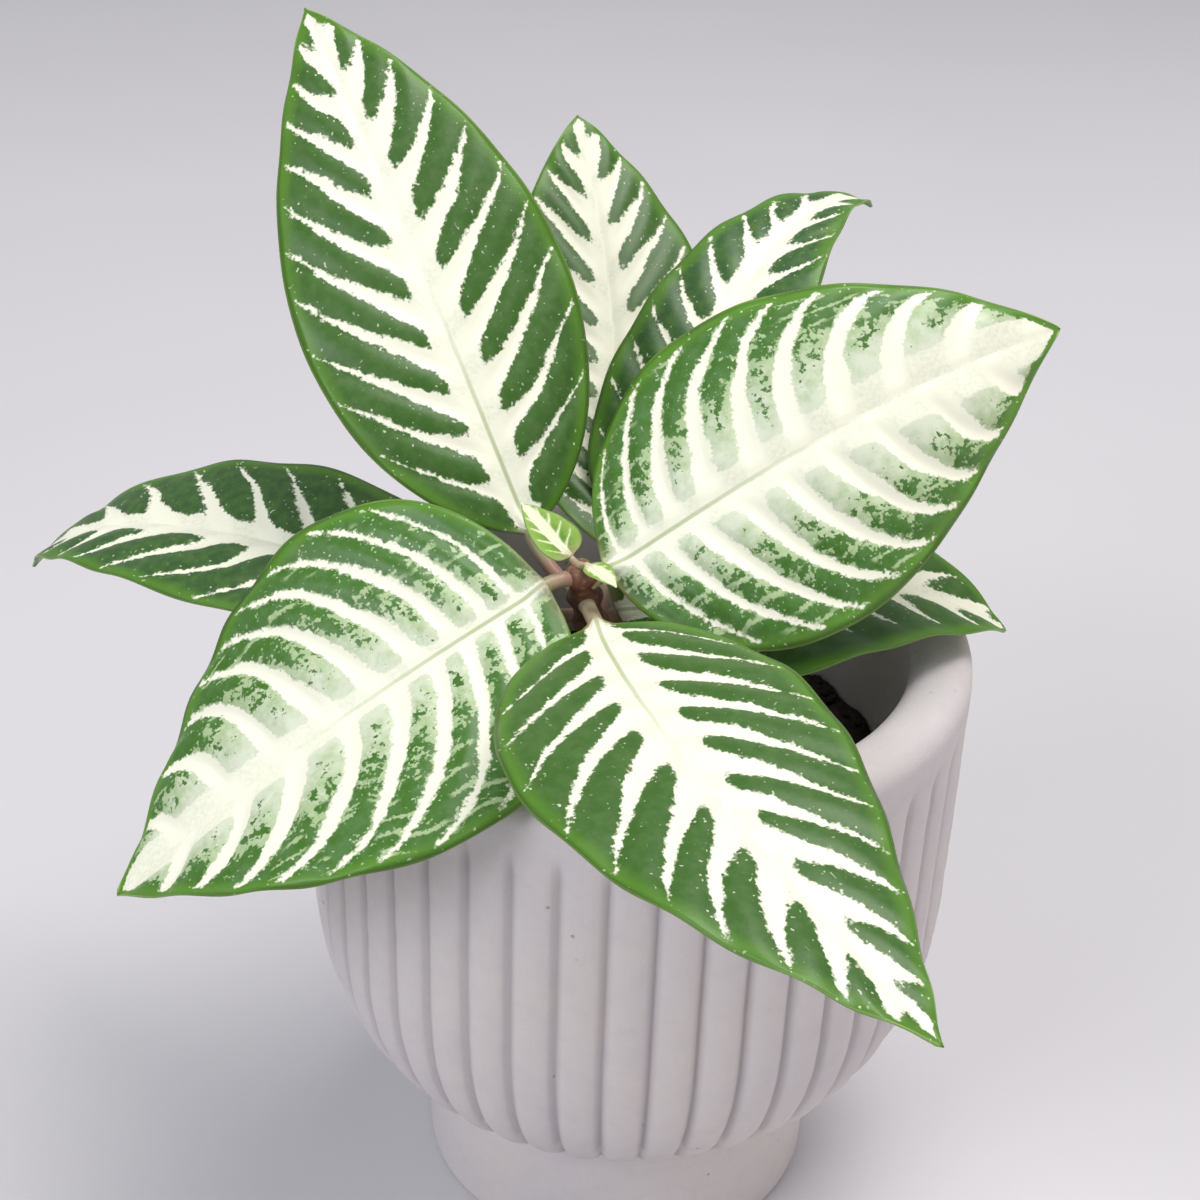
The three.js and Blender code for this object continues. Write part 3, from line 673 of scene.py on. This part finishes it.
def concrete():
    g = Graph("cast_concrete")
    at = g.place()
    cloud = g.noise(at, 0.022, 4.0, 0.6)
    mottle = g.noise(at, 0.2, 4.0, 0.7)
    sand = g.noise(at, 1.6, 3.0, 0.7)
    color = g.mix(g.step(cloud, 0.3, 0.7), srgb(207, 201, 203), srgb(213, 205, 202))
    color = g.mix(g.mul(g.step(mottle, 0.42, 0.78), 0.3), color, srgb(192, 186, 188))
    color = g.mix(g.mul(g.step(sand, 0.45, 0.75), 0.18), color, srgb(232, 228, 226))
    pits = g.step(g.cells(at, 0.16), 0.075, 0.045)
    gate = g.step(g.noise(at, 0.05, 1.0), 0.48, 0.56)
    pits = g.mul(pits, gate)
    color = g.mix(g.mul(pits, 0.55), color, srgb(120, 114, 116))
    # painted shade: the bottoms of the grooves between the reeds are darkened on the outside, more strongly
    # low on the bowl above the foot
    px, py, pz = g.split(at)
    turn = g.mul(g.m("ARCTAN2", py, px), REEDS / (2 * math.pi))
    cell = g.abs(g.sub(g.mul(g.m("FRACT", turn), 2.0), 1.0))
    outside = g.step(g.m("SQRT", g.add(g.mul(px, px), g.mul(py, py))), 58.5, 60.5)
    low = g.step(pz, 52.0, 32.0)
    below_rim = g.step(pz, REED_TOP, REED_TOP - REED_FADE)
    above_foot = g.step(pz, FOOT_HEIGHT - 0.5, FOOT_HEIGHT + 0.5)
    groove_shade = g.mul(g.step(cell, 0.62, 1.0), g.mul(below_rim, g.m("MAXIMUM", outside, low)))
    groove_shade = g.mul(groove_shade, above_foot)
    # the groove shade is painted into the colour here, darker low on the bowl
    color = g.mix(g.mul(groove_shade, g.m("MULTIPLY_ADD", low, 0.3, 0.4)), color, srgb(150, 144, 150))
    height = g.sub(g.add(g.mul(sand, 0.35), g.mul(mottle, 0.35)), g.mul(pits, 1.4))
    rough = g.add(0.78, g.mul(sand, 0.16))
    return g.finish(color, rough, g.bump(height, 0.55, 0.35), specular=0.35)


pot = build_pot(concrete())
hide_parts("pot")
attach(pot, "root")


# ---------------------------------------------------------------- potting mix and root ball
def peat(name, tone):
    g = Graph(name)
    at = g.place()
    crumb = g.noise(at, 0.55, 4.0, 0.7)
    grain = g.noise(at, 2.2, 3.0, 0.65)
    fibre = g.cells(at, 0.9)
    color = g.mix(g.step(crumb, 0.3, 0.72), srgb(20, 16, 14), srgb(*tone))
    color = g.mix(g.mul(g.step(grain, 0.62, 0.8), 0.5), color, srgb(104, 84, 62))
    height = g.add(g.mul(crumb, 0.9), g.add(g.mul(grain, 0.4), g.mul(fibre, 0.3)))
    return g.finish(color, g.add(0.82, g.mul(grain, 0.15)), g.bump(height, 0.9, 0.9), specular=0.25)


def icosahedron():
    """Corners on a sphere of radius 1, and the triangles between them."""
    golden = (1 + 5 ** 0.5) / 2
    corners = np.array([
        (-1, golden, 0), (1, golden, 0), (-1, -golden, 0), (1, -golden, 0),
        (0, -1, golden), (0, 1, golden), (0, -1, -golden), (0, 1, -golden),
        (golden, 0, -1), (golden, 0, 1), (-golden, 0, -1), (-golden, 0, 1)])
    triangles = [
        (0, 11, 5), (0, 5, 1), (0, 1, 7), (0, 7, 10), (0, 10, 11),
        (1, 5, 9), (5, 11, 4), (11, 10, 2), (10, 7, 6), (7, 1, 8),
        (3, 9, 4), (3, 4, 2), (3, 2, 6), (3, 6, 8), (3, 8, 9),
        (4, 9, 5), (2, 4, 11), (6, 2, 10), (8, 6, 7), (9, 8, 1)]
    return corners / np.linalg.norm(corners[0]), triangles


def mix_top(x, y):
    """The height of the potting mix: a low dome over the root ball, a ridge around it, and lumps."""
    r = np.hypot(x, y)
    dome = 1.6 * (1 - (r / ROOT_BALL) ** 2)
    ridge = 0.9 * np.sin(np.clip((r - ROOT_BALL) / 24, 0, 1) * math.pi)
    lumps = 0.9 * ripple(x, y, 0 * x, 0.35, 3)
    small_lumps = 0.45 * ripple(x, y, 0 * x, 1.1, 4)
    return SOIL_TOP + np.where(r < ROOT_BALL, dome, ridge) + lumps + small_lumps - 0.4


def crumbs(count, r0, r1, size):
    """Small lumps that lie on the mix between two radii."""
    verts, faces = [], []
    gen = np.random.default_rng(int(r1 * 10))
    ball, triangles = icosahedron()
    for _ in range(count):
        r, a = math.sqrt(gen.uniform(r0 ** 2, r1 ** 2)), gen.uniform(0, 2 * math.pi)
        x, y = r * math.cos(a), r * math.sin(a)
        k = size * gen.uniform(0.45, 1.3)
        lump = ball * (1 + gen.uniform(-0.28, 0.28, (12, 1))) * (k * gen.uniform(0.7, 1.5), k, k * 0.7)
        turn = gen.uniform(0, 6.28)
        c, s = math.cos(turn), math.sin(turn)
        lump = np.stack([lump[:, 0] * c - lump[:, 1] * s, lump[:, 0] * s + lump[:, 1] * c, lump[:, 2]], -1)
        first = len(verts)
        verts += list(lump + (x, y, float(mix_top(np.array(x), np.array(y))) + 0.15 * k))
        faces += [tuple(first + i for i in triangle) for triangle in triangles]
    return verts, faces


def ground(name, side_rows, r0, top_rows, node, material, count, size, sides=180):
    """A body of mix. side_rows go under it and up its outside, top_rows over its top to the radius r0."""
    ring = ring_angles(sides)
    verts, ids = [], []
    for r, z in side_rows:
        ids.append(list(range(len(verts), len(verts) + sides)) if r else [len(verts)])
        verts += [(r * math.cos(a), r * math.sin(a), z) for a in ring] if r else [(0, 0, z)]
    r1 = side_rows[-1][0]
    for r in np.linspace(r1, r0, top_rows):
        if r == 0:
            ids.append([len(verts)])
            verts.append((0, 0, float(mix_top(np.array(0.0), np.array(0.0)))))
        else:
            px, py = r * np.cos(ring), r * np.sin(ring)
            ids.append(list(range(len(verts), len(verts) + sides)))
            verts += list(np.stack([px, py, mix_top(px, py)], -1))
    pairs = list(zip(ids, ids[1:]))
    if r0 > 0:
        # a ring of mix closes on its first row
        pairs.append((ids[-1], ids[0]))
    faces = [ring_face(a, b, k, sides) for a, b in pairs for k in range(sides)]
    lumps, lump_faces = crumbs(count, r0 + 1, r1 - 1.5, size)
    base = len(verts)
    verts += lumps
    faces += [tuple(base + i for i in face) for face in lump_faces]
    obj = make_object(name, verts, faces, [material])
    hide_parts(node)
    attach(obj, "root")


# where the mix meets the root ball and the pot, and where the root ball ends
MIX_INNER, MIX_OUTER, PLUG_FLOOR = ROOT_BALL + 0.4, RIM_INNER - 0.7, SOIL_TOP - ROOT_DEPTH
mix_sides = [(MIX_INNER, 60.0), (25.0, 50.5), (38.0, 56.0), (46.0, 63.0), (52.0, 72.0), (54.0, 82.0),
             (MIX_OUTER, 92.0)]
plug_sides = [(0, PLUG_FLOOR), (21.0, PLUG_FLOOR), (25.0, 62.0), (29.0, 76.0), (ROOT_BALL, 92.0)]
mix = peat("peat_mix", (46, 37, 31))
ground("potting_mix", mix_sides, MIX_INNER, 26, "soil", mix, count=420, size=1.1)
plug = peat("root_plug_mix", (54, 42, 33))
ground("root_plug", plug_sides, 0, 34, "root_ball", plug, count=260, size=1.0)


# ---------------------------------------------------------------- stem
def bark():
    g = Graph("stem_skin")
    at = g.place()
    streak = g.noise(at, 0.35, 3.0, 0.6)
    spots = g.noise(at, 1.4, 2.0, 0.6)
    up = g.step(g.split(at)[2], 128.0, 158.0)
    color = g.mix(g.step(streak, 0.35, 0.65), srgb(98, 58, 46), srgb(126, 76, 58))
    color = g.mix(g.mul(g.step(spots, 0.55, 0.75), 0.5), color, srgb(160, 128, 96))
    color = g.mix(g.mul(up, g.step(streak, 0.5, 0.7)), color, srgb(124, 128, 66))
    return g.finish(color, 0.5, g.bump(g.add(streak, spots), 0.4, 0.25))


def build_stem(sides=28, rows=120):
    """A leaning, tapered stem, thicker at its nodes and closed at both ends."""
    axis = STEM_TOP - STEM_FOOT
    axis = axis / np.linalg.norm(axis)
    u = np.cross((0, 1, 0), axis)
    u /= np.linalg.norm(u)
    v = np.cross(axis, u)
    verts, ids = [], []
    ring = ring_angles(sides)
    for h in np.linspace(STEM_FOOT[2] + 1, STEM_TOP[2] + 0.6, rows):
        r = stem_taper(h) + SWELL * math.exp(-(node_gap(h) / 1.5) ** 2)
        r *= 1 + 0.05 * np.cos(4 * ring + 0.4) + 0.02 * np.sin(3 * ring + h * 0.7)
        r = r * min(1.0, 0.45 + (STEM_TOP[2] + 0.9 - h) * 0.5)
        p = stem_at(h)
        ids.append(list(range(len(verts), len(verts) + sides)))
        verts += [p + u * a * math.cos(q) + v * a * math.sin(q) for a, q in zip(r, ring)]
    faces = [ring_face(a, b, k, sides) for a, b in zip(ids, ids[1:]) for k in range(sides)]
    faces += [tuple(reversed(ids[0])), tuple(ids[-1])]
    obj = make_object("stem_shoot", verts, faces, [bark()])
    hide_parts("stem")
    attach(obj, "root")


build_stem()


# ---------------------------------------------------------------- floor, light, camera
def build_floor(half=3000.0):
    corners = [(-half, -half, 0), (half, -half, 0), (half, half, 0), (-half, half, 0)]
    floor = make_object("floor", corners, [(0, 1, 2, 3)], [], smooth_shade=False)
    g = Graph("floor_paint")
    tone = g.noise(g.place(), 0.004, 2.0)
    floor.data.materials.append(g.finish(g.mix(tone, srgb(206, 204, 208), srgb(214, 212, 215)), 0.85))


def area_light(name, at, target, size, power, color):
    """A round light at one point, in metres, that faces another."""
    data = bpy.data.lights.new(name, "AREA")
    data.shape, data.size, data.energy, data.color = "DISK", size, power, color
    lamp = bpy.data.objects.new(name, data)
    bpy.context.scene.collection.objects.link(lamp)
    lamp.location = at
    lamp.rotation_euler = (Vector(target) - Vector(at)).to_track_quat("-Z", "Y").to_euler()


build_floor()
area_light("sky", (0.3, 0.2, 1.5), (0, 0, 0.12), 0.9, 16, (1.0, 0.97, 0.94))
area_light("window", (-1.0, -0.9, 1.05), (0, 0, 0.12), 0.8, 11, (0.94, 0.95, 1.0))
area_light("bounce", (1.2, -0.5, 0.5), (0, 0, 0.08), 0.8, 2.5, (1.0, 0.84, 0.76))
world = bpy.data.worlds.new("studio")
world.use_nodes = True
world.node_tree.nodes["Background"].inputs[0].default_value = (0.86, 0.89, 0.95, 1)
world.node_tree.nodes["Background"].inputs[1].default_value = 0.42
bpy.context.scene.world = world
bpy.context.scene.view_settings.view_transform = "Standard"

# the camera looks along +Y, down by its pitch, and leans by its roll
PITCH, ROLL = 31 * DEG, 2 * DEG
CAMERA_AT = (-0.0079, -0.3445, 0.3464)
LENS, SENSOR, CLIP_END = 60.0, 36.0, 20.0
ahead = Vector((0, math.cos(PITCH), -math.sin(PITCH)))
over = Vector((0, math.sin(PITCH), math.cos(PITCH)))
right = Vector((1, 0, 0))
cam_x = right * math.cos(ROLL) + over * math.sin(ROLL)
cam_y = over * math.cos(ROLL) - right * math.sin(ROLL)
lens = bpy.data.cameras.new("camera")
lens.lens, lens.sensor_width, lens.clip_end = LENS, SENSOR, CLIP_END
camera = bpy.data.objects.new("camera", lens)
camera.matrix_world = Matrix((
    (cam_x.x, cam_y.x, -ahead.x, CAMERA_AT[0]),
    (cam_x.y, cam_y.y, -ahead.y, CAMERA_AT[1]),
    (cam_x.z, cam_y.z, -ahead.z, CAMERA_AT[2]),
    (0, 0, 0, 1)))
bpy.context.scene.collection.objects.link(camera)
bpy.context.scene.camera = camera
